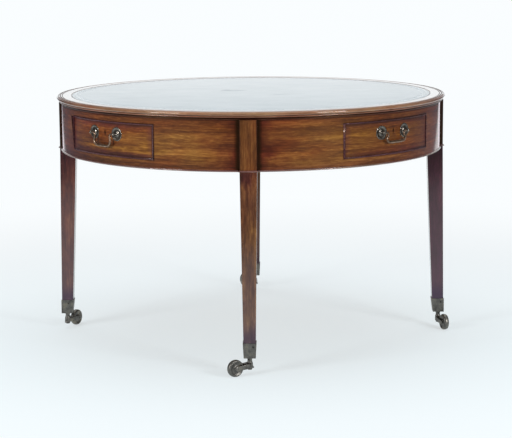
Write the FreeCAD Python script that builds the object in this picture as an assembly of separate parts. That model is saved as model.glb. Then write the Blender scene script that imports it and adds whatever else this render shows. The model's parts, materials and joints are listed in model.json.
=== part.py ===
import FreeCAD, Part
import math
import os

from FreeCAD import Vector

# Drum table: a round leather-lined top on a curved frieze with four bow-fronted
# drawers, four square tapered legs that run up through the frieze as stiles, and
# four brass cup castors. Millimetres, +Z up, origin on the floor under the centre.
# The table faces -Y: one leg stands at the front, one at each side, one behind.

os.makedirs("parts", exist_ok=True)

# Overall sizes
table_height = 760.0
top_radius = 610.0
top_overhang = 14.0
frieze_height = 149.0
leg_proud = 10.0

# Clearances, and the length by which a cutter runs past what it cuts
overrun = 4.0
seat_gap = 0.3
drawer_gap = 0.8
running_clearance = 0.05

# Top: core board, edge moulding, crossbanding and leather
top_thickness = 22.0
crossbanding_width = 27.0
leather_thickness = 1.5
leather_recess = 0.5
banding_thickness = 2.0
moulding_width = 18.0
nosing_radius = 6.0
nosing_undercut_angle = 50.0
quirk_width = 2.0
fillet_height = 6.0
fillet_width = 6.0

# Frieze: laminated rails over and under the drawers, panels between
frieze_thickness = 24.0
top_rail_height = 19.0
bottom_rail_height = 27.0
bead_height = 6.0
bead_proud = 4.0
bead_bevel = 2.0

# Legs
leg_width = 50.0
ankle_width = 36.0
foot_width = 31.0
foot_splay = 8.0
tenon_thickness = 10.0
tenon_length = 25.0
tenon_shoulder = 24.0

# Cross frame and drawer carriage
cross_rail_thickness = 22.0
cross_rail_lift = 4.0
runner_width = 30.0
runner_depth = 14.0
guide_height = 30.0
guide_thickness = 8.0
kicker_width = 22.0
stop_length = 12.0
stop_height = 16.0
stop_room = 33.0
block_length = 55.0
block_lift = 3.0

# Drawers
drawer_width = 364.0
side_thickness = 10.0
side_drop = 7.0
back_thickness = 9.0
back_drop = 4.0
bottom_thickness = 6.0
bottom_lift = 8.0
groove_depth = 5.0
tail_count = 3
tail_length = 11.0
tail_root_share = 0.56
tail_tip_share = 0.74
cockbead_thickness = 3.0
cockbead_depth = 10.0
cockbead_proud = 2.0

# Drawer lock and keyhole
lock_width = 60.0
lock_margin = 2.0
lock_thickness = 12.0
lock_proud = 3.0
bolt_width = 18.0
bolt_thickness = 6.0
bolt_bite = 2.0
bolt_throw = 8.0
bolt_clearance = 0.4
keyhole_height = 14.0
keyhole_width = 3.2
keyhole_eye_radius = 2.4
keyhole_over_posts = 2.0

# Handles: two dished roses with posts, and a swan-neck bail
handle_over_middle = 15.5
post_spacing = 100.0
rose_radius = 20.5
rose_thickness = 2.0
post_radius = 5.0
post_proud = 14.0
post_tip = 4.5
bail_radius = 2.8
bail_sides = 8
bend_steps = 4
pivot_radius = 2.0
pivot_depth = 5.0
neck_length = 5.0
neck_radius = 6.0
bail_corner_radius = 18.0
bail_drops = {"front_left": 36.0, "front_right": 29.0, "back_right": 36.0, "back_left": 29.0}
bail_spreads = {"front_left": 36.0, "front_right": 41.0, "back_right": 36.0, "back_left": 41.0}

# Castors: square tapered cup, spindle, forked horn, axle and wheel
cup_bottom_height = 51.0
cup_height = 44.0
cup_wall = 2.0
cup_floor = 5.0
cup_screw_radius = 2.6
cup_screw_sides = 8
cup_screw_depth = 8.0
cup_screw_proud = 0.8
cup_screw_drop = 11.0
cup_screw_offsets = {"front": 10.0, "right": 9.0, "back": 6.0, "left": -3.0}
spindle_radius = 4.0
spindle_head_radius = 6.5
spindle_head_height = 3.0
stem_radius = 8.0
wheel_radius = 25.0
wheel_width = 16.0
axle_radius = 3.0
axle_proud = 1.0
trail = 50.0
cheek_thickness = 3.5
cheek_gap = 1.0
cheek_end_radius = 8.5
fork_clearance = 3.0
horn_underside = 18.0
horn_shoulder = 37.0
toe_reach = 12.0
toe_rise = 4.0
toe_half_width = 5.0
heel_half_width = 9.5

# Directions in plan, in degrees from +X
leg_angles = {"front": -90.0, "right": 0.0, "back": 90.0, "left": 180.0}
drawer_angles = {"front_left": -135.0, "front_right": -45.0, "back_right": 45.0, "back_left": 135.0}
castor_angles = {"front": 214.0, "right": -72.0, "back": 132.0, "left": 63.0}

# Heights and radii that follow from the sizes above
quarter_turn = 90.0
half_turn = 180.0
full_turn = 360.0
frieze_radius = top_radius - top_overhang
leather_radius = top_radius - moulding_width - crossbanding_width
frieze_top = table_height - top_thickness
frieze_bottom = frieze_top - frieze_height
frieze_inner = frieze_radius - frieze_thickness
opening_bottom = frieze_bottom + bottom_rail_height
opening_top = frieze_top - top_rail_height
leg_face = frieze_radius + leg_proud
leg_inner = leg_face - leg_width
cup_top_height = cup_bottom_height + cup_height
foot_height = cup_bottom_height + cup_floor
swivel_radius = leg_face + foot_splay - foot_width / 2
half_opening = drawer_width / 2 + drawer_gap
half_drawer = drawer_width / 2
front_bottom = opening_bottom + drawer_gap
front_top = opening_top - drawer_gap
side_bottom = opening_bottom + seat_gap
side_top = front_top - side_drop
side_outer = half_drawer - drawer_gap
side_inner = side_outer - side_thickness
front_end_inner = math.sqrt(frieze_inner ** 2 - half_drawer ** 2)
cross_rail_reach = cross_rail_thickness * math.sqrt(1 / 2)
stop_inner_face = cross_rail_reach + side_outer + stop_room
box_back = stop_inner_face + stop_length + seat_gap
board_bottom = side_bottom + bottom_lift
board_top = board_bottom + bottom_thickness
handle_height = (front_bottom + front_top) / 2 + handle_over_middle
keyhole_bottom = handle_height + keyhole_over_posts - keyhole_height / 2
keyhole_top = keyhole_bottom + keyhole_height
lock_bottom = keyhole_bottom - lock_margin
bolt_bottom = keyhole_top - bolt_bite
pivot_distance = frieze_radius + post_proud
post_angle = math.degrees(math.asin(post_spacing / 2 / frieze_radius))
pivot_y = pivot_distance * math.sin(math.radians(post_angle))
pivot_x = pivot_distance * math.cos(math.radians(post_angle))
block_leg = top_rail_height - block_lift
opening_end_angle = math.degrees(math.asin(half_opening / frieze_inner))
leg_side_angle = quarter_turn / 2 - math.degrees(math.asin(leg_width / 2 / frieze_inner))
panel_block_angle = (opening_end_angle + leg_side_angle) / 2
drawer_block_angle = math.degrees(math.asin((side_outer - kicker_width) / 2 / frieze_inner))


def box(x_from, x_to, y_from, y_to, z_from, z_to):
    """A block between two corners."""
    corner = Vector(x_from, y_from, z_from)
    return Part.makeBox(x_to - x_from, y_to - y_from, z_to - z_from, corner)


def turned(shape, degrees, axis=Vector(0, 0, 1), centre=Vector(0, 0, 0)):
    """A copy of a shape turned about an axis."""
    copy = shape.copy()
    copy.rotate(centre, axis, degrees)
    return copy


def moved(shape, x, y, z):
    """A copy of a shape moved along the three axes."""
    copy = shape.copy()
    copy.translate(Vector(x, y, z))
    return copy


def mirrored(shape):
    """A copy of a shape mirrored across the XZ plane."""
    return shape.mirror(Vector(0, 0, 0), Vector(0, 1, 0))


def cylinder(radius, z_from, z_to, x=0.0, y=0.0):
    """An upright cylinder."""
    return Part.makeCylinder(radius, z_to - z_from, Vector(x, y, z_from))


def cross_cylinder(radius, y_from, y_to, x, z):
    """A cylinder that lies along Y."""
    return Part.makeCylinder(radius, y_to - y_from, Vector(x, y_from, z), Vector(0, 1, 0))


def flat_face(corners):
    """A flat face from its corners in order."""
    return Part.Face(Part.makePolygon(corners + corners[:1]))


def prism(corners, extrusion):
    """A polygon extruded along a vector."""
    return flat_face(corners).extrude(extrusion)


def ring(inner, outer, z_from, z_to):
    """A full ring of rectangular section."""
    return cylinder(outer, z_from, z_to).cut(cylinder(inner, z_from - overrun, z_to + overrun))


def arc_band(inner, outer, z_from, z_to):
    """A quarter of a ring, centred on +X."""
    start = Vector(inner, 0, z_from)
    corners = [start, Vector(outer, 0, z_from), Vector(outer, 0, z_to), Vector(inner, 0, z_to)]
    face = flat_face(corners)
    band = face.revolve(Vector(0, 0, 0), Vector(0, 0, 1), quarter_turn)
    return turned(band, -quarter_turn / 2)


def save(name, *solids):
    """Write one node: a single piece, or a group of like pieces."""
    shape = solids[0] if len(solids) == 1 else Part.makeCompound(list(solids))
    shape.exportStep("parts/" + name + ".step")


# The top

def edge_moulding():
    """A rounded nosing over two stepped fillets, turned round the edge of the top."""
    inner = top_radius - moulding_width
    nose_x = top_radius - nosing_radius
    nose_z = table_height - nosing_radius
    under = math.radians(nosing_undercut_angle)
    nose_end = Vector(nose_x + nosing_radius * math.cos(under), 0, nose_z - nosing_radius * math.sin(under))
    step_x = nose_end.x - quirk_width
    step_z = frieze_top + fillet_height
    corners = [
        Vector(nose_x, 0, table_height),
        Vector(inner, 0, table_height),
        Vector(inner, 0, frieze_top),
        Vector(step_x - fillet_width, 0, frieze_top),
        Vector(step_x - fillet_width, 0, step_z),
        Vector(step_x, 0, step_z),
        Vector(step_x, 0, nose_end.z),
        nose_end,
    ]
    edges = [Part.makeLine(corners[index], corners[index + 1]) for index in range(len(corners) - 1)]
    edges.append(Part.Arc(nose_end, Vector(top_radius, 0, nose_z), corners[0]).toShape())
    face = Part.Face(Part.Wire(edges))
    return face.revolve(Vector(0, 0, 0), Vector(0, 0, 1), full_turn)


def build_top():
    """Core board, moulding, crossbanding and leather, laid up as the real top is."""
    core_radius = top_radius - moulding_width
    core_top = table_height - banding_thickness
    save("top_core", cylinder(core_radius, frieze_top, core_top))
    save("top_edge_moulding", edge_moulding())
    save("top_crossbanding", ring(leather_radius, core_radius, core_top, table_height))
    leather_top = table_height - leather_recess
    save("leather_inset", cylinder(leather_radius, core_top, leather_top))


# The legs

def squared(levels):
    """A solid of square section, from levels of height, outer face and width.

    It is what two views of the piece have in common: one from the side, one from the front."""
    widest = max(width for z, outer, width in levels)
    outermost = max(outer for z, outer, width in levels)
    innermost = min(outer - width for z, outer, width in levels)
    half = widest / 2
    side = [Vector(outer - width, -half, z) for z, outer, width in levels]
    side += [Vector(outer, -half, z) for z, outer, width in reversed(levels)]
    front = [Vector(innermost, -width / 2, z) for z, outer, width in levels]
    front += [Vector(innermost, width / 2, z) for z, outer, width in reversed(levels)]
    views = prism(side, Vector(0, widest, 0)), prism(front, Vector(outermost - innermost, 0, 0))
    return views[0].common(views[1]).removeSplitter()


def leg_outer(z):
    """The radius of a leg's outer face at a height: under the frieze it leans out to the foot."""
    return leg_face + foot_splay * (frieze_bottom - z) / (frieze_bottom - foot_height)


def cross_tenon():
    """The tenon of a cross rail that enters the back of a leg."""
    half = tenon_thickness / 2
    low = frieze_bottom + tenon_shoulder
    high = frieze_top - tenon_shoulder
    return box(leg_inner, leg_inner + tenon_length, -half, half, low, high)


def leg():
    """Stile through the frieze, long splayed taper, and pared foot."""
    levels = [
        (foot_height, leg_outer(foot_height), foot_width),
        (cup_top_height, leg_outer(cup_top_height), ankle_width),
        (frieze_bottom, leg_face, leg_width),
        (frieze_top, leg_face, leg_width),
    ]
    return squared(levels).cut(cross_tenon())


# The frieze

def quadrant(band):
    """Trim a quarter band to the side faces of the two legs beside it."""
    half = leg_width / 2
    reach = top_radius + overrun
    cutter = box(leg_inner - leg_width, reach, -half, half, 0, table_height)
    for side in (-quarter_turn / 2, quarter_turn / 2):
        band = band.cut(turned(cutter, side))
    return band


def frieze_pieces():
    """Top rail, bottom rail and the two panels of one quadrant, centred on +X."""
    top_rail = quadrant(arc_band(frieze_inner, frieze_radius, opening_top, frieze_top))
    bottom_rail = quadrant(arc_band(frieze_inner, frieze_radius, frieze_bottom, opening_bottom))
    web = quadrant(arc_band(frieze_inner, frieze_radius, opening_bottom, opening_top))
    opening = box(0, top_radius, -half_opening, half_opening, opening_bottom, opening_top)
    panels = web.cut(opening).Solids
    return top_rail.cut(bolt_mortice()), bottom_rail, panels


def bead_arc():
    """The bevelled bead under one quadrant of the frieze."""
    outer = frieze_radius + bead_proud
    top = frieze_bottom + bead_height
    corners = [
        Vector(frieze_radius, 0, frieze_bottom),
        Vector(outer, 0, frieze_bottom + bead_bevel),
        Vector(outer, 0, top - bead_bevel),
        Vector(frieze_radius, 0, top),
    ]
    face = flat_face(corners)
    band = turned(face.revolve(Vector(0, 0, 0), Vector(0, 0, 1), quarter_turn), -quarter_turn / 2)
    half = leg_width / 2 + bead_proud
    stop = box(leg_inner, leg_face + leg_width, -half, half, 0, table_height)
    for side in (-quarter_turn / 2, quarter_turn / 2):
        band = band.cut(turned(stop, side))
    return band


def bead_wrap():
    """The same bead where it breaks forward round the face of a leg, at +X."""
    top = frieze_bottom + bead_height
    outer = leg_face + bead_proud
    width = leg_width + bead_proud + bead_proud
    levels = [
        (frieze_bottom, leg_face, leg_width),
        (frieze_bottom + bead_bevel, outer, width),
        (top - bead_bevel, outer, width),
        (top, leg_face, leg_width),
    ]
    half = leg_width / 2
    leg_space = box(leg_inner - leg_width, leg_face, -half, half, 0, table_height)
    return squared(levels).cut(leg_space).cut(cylinder(frieze_radius, 0, table_height))


# The cross frame and the drawer carriage

def cross_rail(notch_low, notch_high):
    """A rail from leg to leg with a halving notch at the middle."""
    half = cross_rail_thickness / 2
    rail = box(-leg_inner, leg_inner, -half, half, frieze_bottom + cross_rail_lift, frieze_top)
    tenon = cross_tenon()
    rail = rail.fuse([tenon, turned(tenon, half_turn)])
    return rail.cut(box(-half, half, -half, half, notch_low, notch_high))


def carriage_strip(y_from, y_to, z_from, z_to):
    """A strip beside one drawer side, from the frieze to the cross rail, mitred there."""
    corners = [
        Vector(cross_rail_reach + y_from, y_from, z_from),
        Vector(frieze_radius, y_from, z_from),
        Vector(frieze_radius, y_to, z_from),
        Vector(cross_rail_reach + y_to, y_to, z_from),
    ]
    strip = prism(corners, Vector(0, 0, z_to - z_from))
    return strip.common(cylinder(frieze_inner, z_from, z_to))


def drawer_runner():
    """A rebated runner: the drawer side slides on its ledge, inside its guide."""
    guide_face = half_drawer
    guide_outer = guide_face + guide_thickness
    bearer_bottom = opening_bottom - runner_depth
    bearer = carriage_strip(guide_outer - runner_width, guide_outer, bearer_bottom, opening_bottom)
    guide = carriage_strip(guide_face, guide_outer, bearer_bottom, opening_bottom + guide_height)
    return bearer.fuse(guide).removeSplitter()


def drawer_kicker():
    """The strip over a drawer side that keeps an open drawer level."""
    outer = side_outer
    return carriage_strip(outer - kicker_width, outer, side_top + drawer_gap, frieze_top)


def drawer_stop():
    """A block on the runner that meets the back of the drawer side."""
    face = stop_inner_face + stop_length
    return box(stop_inner_face, face, side_inner, side_outer, opening_bottom, opening_bottom + stop_height)


def glue_block(angle):
    """A rubbed block in the corner between the frieze and the top."""
    half = block_length / 2
    outer = math.sqrt(frieze_inner ** 2 - half ** 2)
    corners = [
        Vector(outer, -half, frieze_top - block_leg),
        Vector(outer, -half, frieze_top),
        Vector(outer - block_leg, -half, frieze_top),
    ]
    return turned(prism(corners, Vector(0, block_length, 0)), angle)


# One drawer, built with its axis along +X

def curved_band(inner, outer, half_width, z_from, z_to):
    """A bow-fronted board with flat ends: a slice of a ring."""
    half_out = math.asin(half_width / outer)
    half_in = math.asin(half_width / inner)
    outer_ends = [Vector(outer * math.cos(half_out), side * half_width, z_from) for side in (-1, 1)]
    inner_ends = [Vector(inner * math.cos(half_in), side * half_width, z_from) for side in (-1, 1)]
    edges = [
        Part.Arc(outer_ends[0], Vector(outer, 0, z_from), outer_ends[1]).toShape(),
        Part.makeLine(outer_ends[1], inner_ends[1]),
        Part.Arc(inner_ends[1], Vector(inner, 0, z_from), inner_ends[0]).toShape(),
        Part.makeLine(inner_ends[0], outer_ends[0]),
    ]
    return Part.Face(Part.Wire(edges)).extrude(Vector(0, 0, z_to - z_from))


def cockbead_strips():
    """Four mitred strips let into the edge of the drawer front, standing proud of it."""
    inner = frieze_radius - cockbead_depth
    band = curved_band(inner, frieze_radius + cockbead_proud, half_drawer, front_bottom, front_top)
    y_out = half_drawer
    y_in = half_drawer - cockbead_thickness
    z_low = front_bottom
    z_high = front_top
    z_low_in = z_low + cockbead_thickness
    z_high_in = z_high - cockbead_thickness
    outlines = [
        [(-y_out, z_high), (y_out, z_high), (y_in, z_high_in), (-y_in, z_high_in)],
        [(-y_out, z_low), (y_out, z_low), (y_in, z_low_in), (-y_in, z_low_in)],
        [(y_out, z_low), (y_out, z_high), (y_in, z_high_in), (y_in, z_low_in)],
        [(-y_out, z_low), (-y_out, z_high), (-y_in, z_high_in), (-y_in, z_low_in)],
    ]
    start = front_end_inner
    strips = []
    for outline in outlines:
        corners = [Vector(start, y, z) for y, z in outline]
        strips.append(prism(corners, Vector(top_radius - start, 0, 0)).common(band))
    return strips


def dovetails(x_root, x_tip, y_from, y_to):
    """A row of tails over the bottom board at a drawer corner, wider at the tip than at the root."""
    pitch = (side_top - board_top) / tail_count
    tails = []
    for index in range(tail_count):
        middle = board_top + pitch * (index + 1 / 2)
        root = pitch * tail_root_share / 2
        tip = pitch * tail_tip_share / 2
        corners = [
            Vector(x_root, y_from, middle - root),
            Vector(x_tip, y_from, middle - tip),
            Vector(x_tip, y_from, middle + tip),
            Vector(x_root, y_from, middle + root),
        ]
        tails.append(prism(corners, Vector(0, y_to - y_from, 0)))
    return tails


def drawer_tails(side):
    """Front and back tails of one drawer side; side is 1 or -1."""
    y_low = min(side * side_inner, side * side_outer)
    y_high = max(side * side_inner, side * side_outer)
    tip = front_end_inner + tail_length
    front = dovetails(front_end_inner - tail_length, tip, y_low, y_high)
    back = dovetails(box_back + back_thickness, box_back, y_low, y_high)
    return front, back


def drawer_side(side):
    """One drawer side with its tails and the groove for the bottom."""
    y_low = min(side * side_inner, side * side_outer)
    y_high = max(side * side_inner, side * side_outer)
    board = box(box_back + back_thickness, frieze_radius, y_low, y_high, side_bottom, side_top)
    board = board.common(cylinder(frieze_inner, 0, table_height))
    front, back = drawer_tails(side)
    board = board.fuse(front + back).removeSplitter()
    return board.cut(drawer_bottom())


def drawer_bottom():
    """The bottom board: in grooves at the sides and front, under the back."""
    half = side_inner + groove_depth
    board = box(box_back, frieze_radius, -half, half, board_bottom, board_top)
    return board.common(cylinder(frieze_inner + groove_depth, 0, table_height))


def drawer_back():
    """The back board with its pins between the tails of the sides."""
    front_face = box_back + back_thickness
    board = box(box_back, front_face, -side_outer, side_outer, board_top, side_top - back_drop)
    for side in (1, -1):
        board = board.cut(drawer_tails(side)[1])
    return board


def keyhole():
    """The cutter for the keyhole: a round eye over a narrow slot."""
    eye_z = keyhole_top - keyhole_eye_radius
    half = keyhole_width / 2
    start = frieze_inner
    length = frieze_thickness + overrun
    eye = Part.makeCylinder(keyhole_eye_radius, length, Vector(start, 0, eye_z), Vector(1, 0, 0))
    return eye.fuse(box(start, start + length, -half, half, keyhole_bottom, eye_z))


def lock_case_block():
    """The outside of the lock, let into the back of the drawer front."""
    half = lock_width / 2
    back = frieze_inner - lock_proud
    return box(back, back + lock_thickness, -half, half, lock_bottom, front_top)


def bolt_block(play, z_from, z_to):
    """The bolt's section with play on its faces, between two heights."""
    half = bolt_width / 2 + play
    middle = frieze_inner - lock_proud + lock_thickness / 2
    depth = bolt_thickness / 2 + play
    return box(middle - depth, middle + depth, -half, half, z_from, z_to)


def lock_bolt():
    """The bolt, drawn down level with the top of the drawer front, its tail behind the keyhole."""
    return bolt_block(0.0, bolt_bottom, front_top)


def bolt_mortice():
    """The mortice in the top rail that the thrown bolt enters."""
    return bolt_block(drawer_gap, opening_top - overrun, front_top + bolt_throw + drawer_gap)


def lock_case():
    """The lock case with the channel for its bolt and the key's way in."""
    channel = bolt_block(bolt_clearance, bolt_bottom - bolt_clearance, front_top + overrun)
    return lock_case_block().cut(channel).cut(keyhole())


def drawer_front():
    """The bow front: tail sockets, bottom groove, cockbead rebate, lock recess, keyhole."""
    front = curved_band(frieze_inner, frieze_radius, half_drawer, front_bottom, front_top)
    cutters = cockbead_strips() + [drawer_bottom(), lock_case_block(), keyhole()]
    for side in (1, -1):
        cutters += drawer_tails(side)[0]
    return front.cut(cutters)


# The handles

def handle_rose():
    """A round rose on the X axis, its back at x = 0, with a hole for its post."""
    outward = Vector(1, 0, 0)
    plate = Part.makeCylinder(rose_radius, rose_thickness, Vector(0, 0, 0), outward)
    return plate.cut(Part.makeCylinder(post_radius, rose_thickness, Vector(0, 0, 0), outward))


def handle_post():
    """A round post on the X axis that holds one end of the bail."""
    return Part.makeCylinder(post_radius, post_proud + post_tip, Vector(0, 0, 0), Vector(1, 0, 0))


def handle_mounts():
    """Both roses and posts of a drawer, square to the curved front."""
    bore_radius = pivot_radius + running_clearance
    bore_reach = pivot_y - post_radius + pivot_depth + seat_gap
    bore = cross_cylinder(bore_radius, -bore_reach, bore_reach, pivot_x, handle_height)
    pieces = []
    for side in (1, -1):
        for piece in (handle_rose(), handle_post()):
            placed = turned(moved(piece, frieze_radius, 0, handle_height), side * post_angle)
            pieces.append(placed.cut(bore))
    return pieces


def bend(y, z, radius, start, turn):
    """Points along an arc in the plane of the bail, with its angles in degrees."""
    angles = [math.radians(start + turn * step / bend_steps) for step in range(bend_steps + 1)]
    return [(y + radius * math.cos(angle), z + radius * math.sin(angle)) for angle in angles]


def rod_ring(before, here, after):
    """The section of the bail's rod where two straight lengths meet, in their mitre."""
    way_in = Vector(0, here[0] - before[0], here[1] - before[1]).normalize()
    way_out = Vector(0, after[0] - here[0], after[1] - here[1]).normalize()
    along = (way_in + way_out).normalize()
    stretch = 1 / along.dot(way_in)
    corners = []
    for index in range(bail_sides):
        angle = 2 * math.pi * (index + 1 / 2) / bail_sides
        across = bail_radius * math.cos(angle)
        up = bail_radius * math.sin(angle) * stretch
        corners.append(Vector(pivot_x + across, here[0] - along.z * up, here[1] + along.y * up))
    return corners


def rod(path):
    """A many-sided rod along a path of (y, z) points in the plane of the pivots."""
    last = len(path) - 1
    rings = []
    for index, here in enumerate(path):
        before = path[index - 1] if index else here
        after = path[index + 1] if index < last else here
        if index == 0:
            before = (2 * here[0] - after[0], 2 * here[1] - after[1])
        if index == last:
            after = (2 * here[0] - before[0], 2 * here[1] - before[1])
        rings.append(rod_ring(before, here, after))
    faces = [flat_face(rings[0]), flat_face(rings[-1])]
    for low, high in zip(rings, rings[1:]):
        for index in range(bail_sides):
            previous = index - 1
            faces.append(flat_face([low[previous], low[index], high[index], high[previous]]))
    return Part.makeSolid(Part.Shell(faces))


def bail(drop, spread):
    """A swan-neck bail hanging from its two pivots, of eight-sided section."""
    pin_start = pivot_y - post_radius - seat_gap
    neck_y = pin_start - neck_length
    bar_z = handle_height - drop
    corner = bail_corner_radius
    limb = [(pin_start, handle_height)]
    limb += bend(neck_y, handle_height - neck_radius, neck_radius, quarter_turn, quarter_turn)
    limb += bend(spread - corner, bar_z + corner, corner, 0, -quarter_turn)
    path = limb + [(-y, z) for y, z in reversed(limb)]
    pivots = []
    for side in (-1, 1):
        reach = side * (pin_start + pivot_depth)
        low = min(side * neck_y, reach)
        high = max(side * neck_y, reach)
        pivots.append(cross_cylinder(pivot_radius, low, high, pivot_x, handle_height))
    return rod(path).fuse(pivots)


# The castors, built with the swivel axis on Z and the wheel trailing towards +X

def castor_cup():
    """The square tapered cup of a leg at +X, which leans as the leg does."""
    foot_outer = leg_outer(foot_height)
    ankle_outer = leg_outer(cup_top_height)
    wall = cup_wall + cup_wall
    body = squared([
        (cup_bottom_height, leg_outer(cup_bottom_height) + cup_wall, foot_width + wall),
        (cup_top_height, ankle_outer + cup_wall, ankle_width + wall),
    ])
    hollow = squared([(foot_height, foot_outer, foot_width), (cup_top_height, ankle_outer, ankle_width)])
    spindle_hole = cylinder(spindle_radius, 0, table_height, swivel_radius)
    return body.cut(hollow).cut(spindle_hole)


def cup_screws(name):
    """Two screws through the cup at +X, in the walls that face the front and the back of the table."""
    z = cup_top_height - cup_screw_drop
    share = cup_screw_drop / (cup_top_height - foot_height)
    width = ankle_width - share * (ankle_width - foot_width)
    face_x = leg_outer(z)
    offset = cup_screw_offsets[name]
    length = cup_screw_depth + cup_wall + cup_screw_proud
    proud = cup_wall + cup_screw_proud
    screws = []
    for side in (-1, 1):
        if name in ("left", "right"):
            start = Vector(face_x - width / 2 + offset, side * (width / 2 + proud), z)
            inward = Vector(0, -side, 0)
        else:
            wall_x = face_x if side > 0 else face_x - width
            start = Vector(wall_x + side * proud, offset, z)
            inward = Vector(-side, 0, 0)
        screws.append(screw(start, inward, length))
    return screws


def screw(start, inward, length):
    """A many-sided screw that starts at its head."""
    up = Vector(0, 0, 1)
    across = up.cross(inward)
    corners = []
    for index in range(cup_screw_sides):
        angle = 2 * math.pi * (index + 1 / 2) / cup_screw_sides
        sideways = cup_screw_radius * math.cos(angle)
        upward = cup_screw_radius * math.sin(angle)
        corners.append(start + across * sideways + up * upward)
    return prism(corners, inward * length)


def castor_spindle():
    """The pivot pin: riveted in the cup, with a head under the horn that holds it up."""
    head_top = horn_underside - seat_gap
    shank = cylinder(spindle_radius, head_top, foot_height)
    head = cylinder(spindle_head_radius, head_top - spindle_head_height, head_top)
    return shank.fuse(head).removeSplitter()


def fork_half_width():
    """Half the width across the outside of the fork."""
    return wheel_width / 2 + cheek_gap + cheek_thickness


def horn_profile():
    """The horn seen from the side: toe, underside, rounded cheek end and back."""
    end_x = trail
    end_z = wheel_radius
    low = end_z - cheek_end_radius
    high = end_z + cheek_end_radius
    points = [
        Vector(end_x, 0, high),
        Vector(stem_radius, 0, horn_shoulder),
        Vector(-stem_radius, 0, horn_shoulder),
        Vector(-toe_reach, 0, horn_underside + toe_rise),
        Vector(-toe_reach, 0, horn_underside),
        Vector(0, 0, horn_underside),
        Vector(end_x, 0, low),
    ]
    edges = [Part.makeLine(points[index], points[index + 1]) for index in range(len(points) - 1)]
    round_end = Part.Arc(points[-1], Vector(end_x + cheek_end_radius, 0, end_z), points[0]).toShape()
    return Part.Face(Part.Wire(edges + [round_end]))


def castor_horn():
    """The forked horn, cast in one with the stem that turns on the spindle."""
    half = fork_half_width()
    side_view = moved(horn_profile(), 0, -half, 0).extrude(Vector(0, half + half, 0))
    throat = trail - wheel_radius - fork_clearance
    far = trail + wheel_radius
    plan = [
        (-toe_reach - overrun, toe_half_width),
        (-toe_reach, toe_half_width),
        (0.0, heel_half_width),
        (throat / 2, half),
        (far, half),
    ]
    corners = [Vector(x, y, 0) for x, y in plan]
    corners += [Vector(x, -y, 0) for x, y in reversed(plan)]
    body = side_view.common(prism(corners, Vector(0, 0, cup_bottom_height)))
    stem = cylinder(stem_radius, horn_underside, cup_bottom_height - seat_gap)
    slot_half = wheel_width / 2 + cheek_gap
    slot = cross_cylinder(wheel_radius + fork_clearance, -slot_half, slot_half, trail, wheel_radius)
    bore = cylinder(spindle_radius + running_clearance, 0, table_height)
    axle_hole = cross_cylinder(axle_radius, -half - overrun, half + overrun, trail, wheel_radius)
    return body.fuse(stem).cut([slot, bore, axle_hole]).removeSplitter()


def castor_axle():
    """The axle pin, riveted through both cheeks."""
    reach = fork_half_width() + axle_proud
    return cross_cylinder(axle_radius, -reach, reach, trail, wheel_radius)


def castor_wheel():
    """The brass wheel, bored for its axle."""
    half = wheel_width / 2
    disc = cross_cylinder(wheel_radius, -half, half, trail, wheel_radius)
    bore_radius = axle_radius + running_clearance
    return disc.cut(cross_cylinder(bore_radius, -half - overrun, half + overrun, trail, wheel_radius))


def build_legs_and_castors():
    """Four legs with their cups, and four swivelling castors."""
    cups = []
    screws = []
    spindles = []
    for name, angle in leg_angles.items():
        own_screws = cup_screws(name)
        save("leg_" + name, turned(leg().cut(own_screws), angle))
        cups.append(turned(castor_cup().cut(own_screws), angle))
        screws += [turned(piece, angle) for piece in own_screws]
        spindles.append(turned(moved(castor_spindle(), swivel_radius, 0, 0), angle))
        pieces = {"horn": castor_horn(), "axle": castor_axle(), "wheel": castor_wheel()}
        for piece, shape in pieces.items():
            trailing = moved(turned(shape, castor_angles[name] - angle), swivel_radius, 0, 0)
            save("castor_" + piece + "_" + name, turned(trailing, angle))
    save("castor_cups", *cups)
    save("castor_cup_screws", *screws)
    save("castor_spindles", *spindles)


def build_frieze():
    """Rails, panels, bead, glue blocks and drawer carriage of the four quadrants."""
    groups = {"frieze_top_rails": [], "frieze_bottom_rails": [], "frieze_panels": [], "frieze_bead": []}
    carriage = {"drawer_runners": [], "drawer_kickers": [], "drawer_stops": [], "glue_blocks": []}
    top_rail, bottom_rail, panels = frieze_pieces()
    for angle in drawer_angles.values():
        groups["frieze_top_rails"].append(turned(top_rail, angle))
        groups["frieze_bottom_rails"].append(turned(bottom_rail, angle))
        groups["frieze_panels"] += [turned(panel, angle) for panel in panels]
        groups["frieze_bead"].append(turned(bead_arc(), angle))
        strips = [("drawer_runners", drawer_runner()), ("drawer_kickers", drawer_kicker())]
        strips.append(("drawer_stops", drawer_stop()))
        for name, strip in strips:
            carriage[name] += [turned(strip, angle), turned(mirrored(strip), angle)]
        for block_angle in (panel_block_angle, drawer_block_angle):
            for side in (-1, 1):
                carriage["glue_blocks"].append(turned(glue_block(side * block_angle), angle))
    for angle in leg_angles.values():
        groups["frieze_bead"].append(turned(bead_wrap(), angle))
    for name, solids in {**groups, **carriage}.items():
        save(name, *solids)


def build_cross_frame():
    """Two rails from leg to leg, halved over each other at the middle."""
    low = frieze_bottom + cross_rail_lift
    middle = (low + frieze_top) / 2
    side_to_side = cross_rail(middle, frieze_top)
    front_to_back = turned(cross_rail(low, middle), quarter_turn)
    save("cross_rails", side_to_side, front_to_back)


def build_drawers():
    """Four drawers with their cockbeads, locks and handles."""
    fixed = {
        "drawer_front": [drawer_front()],
        "drawer_box": [drawer_side(1), drawer_side(-1), drawer_back(), drawer_bottom()],
        "drawer_cockbead": cockbead_strips(),
        "drawer_lock": [lock_case()],
        "lock_bolt": [lock_bolt()],
        "handle_mounts": handle_mounts(),
    }
    for name, angle in drawer_angles.items():
        for node, solids in fixed.items():
            save(node + "_" + name, *[turned(solid, angle) for solid in solids])
        save("bail_" + name, turned(bail(bail_drops[name], bail_spreads[name]), angle))


build_top()
build_frieze()
build_cross_frame()
build_legs_and_castors()
build_drawers()
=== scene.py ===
import json
import math
import random

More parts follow.
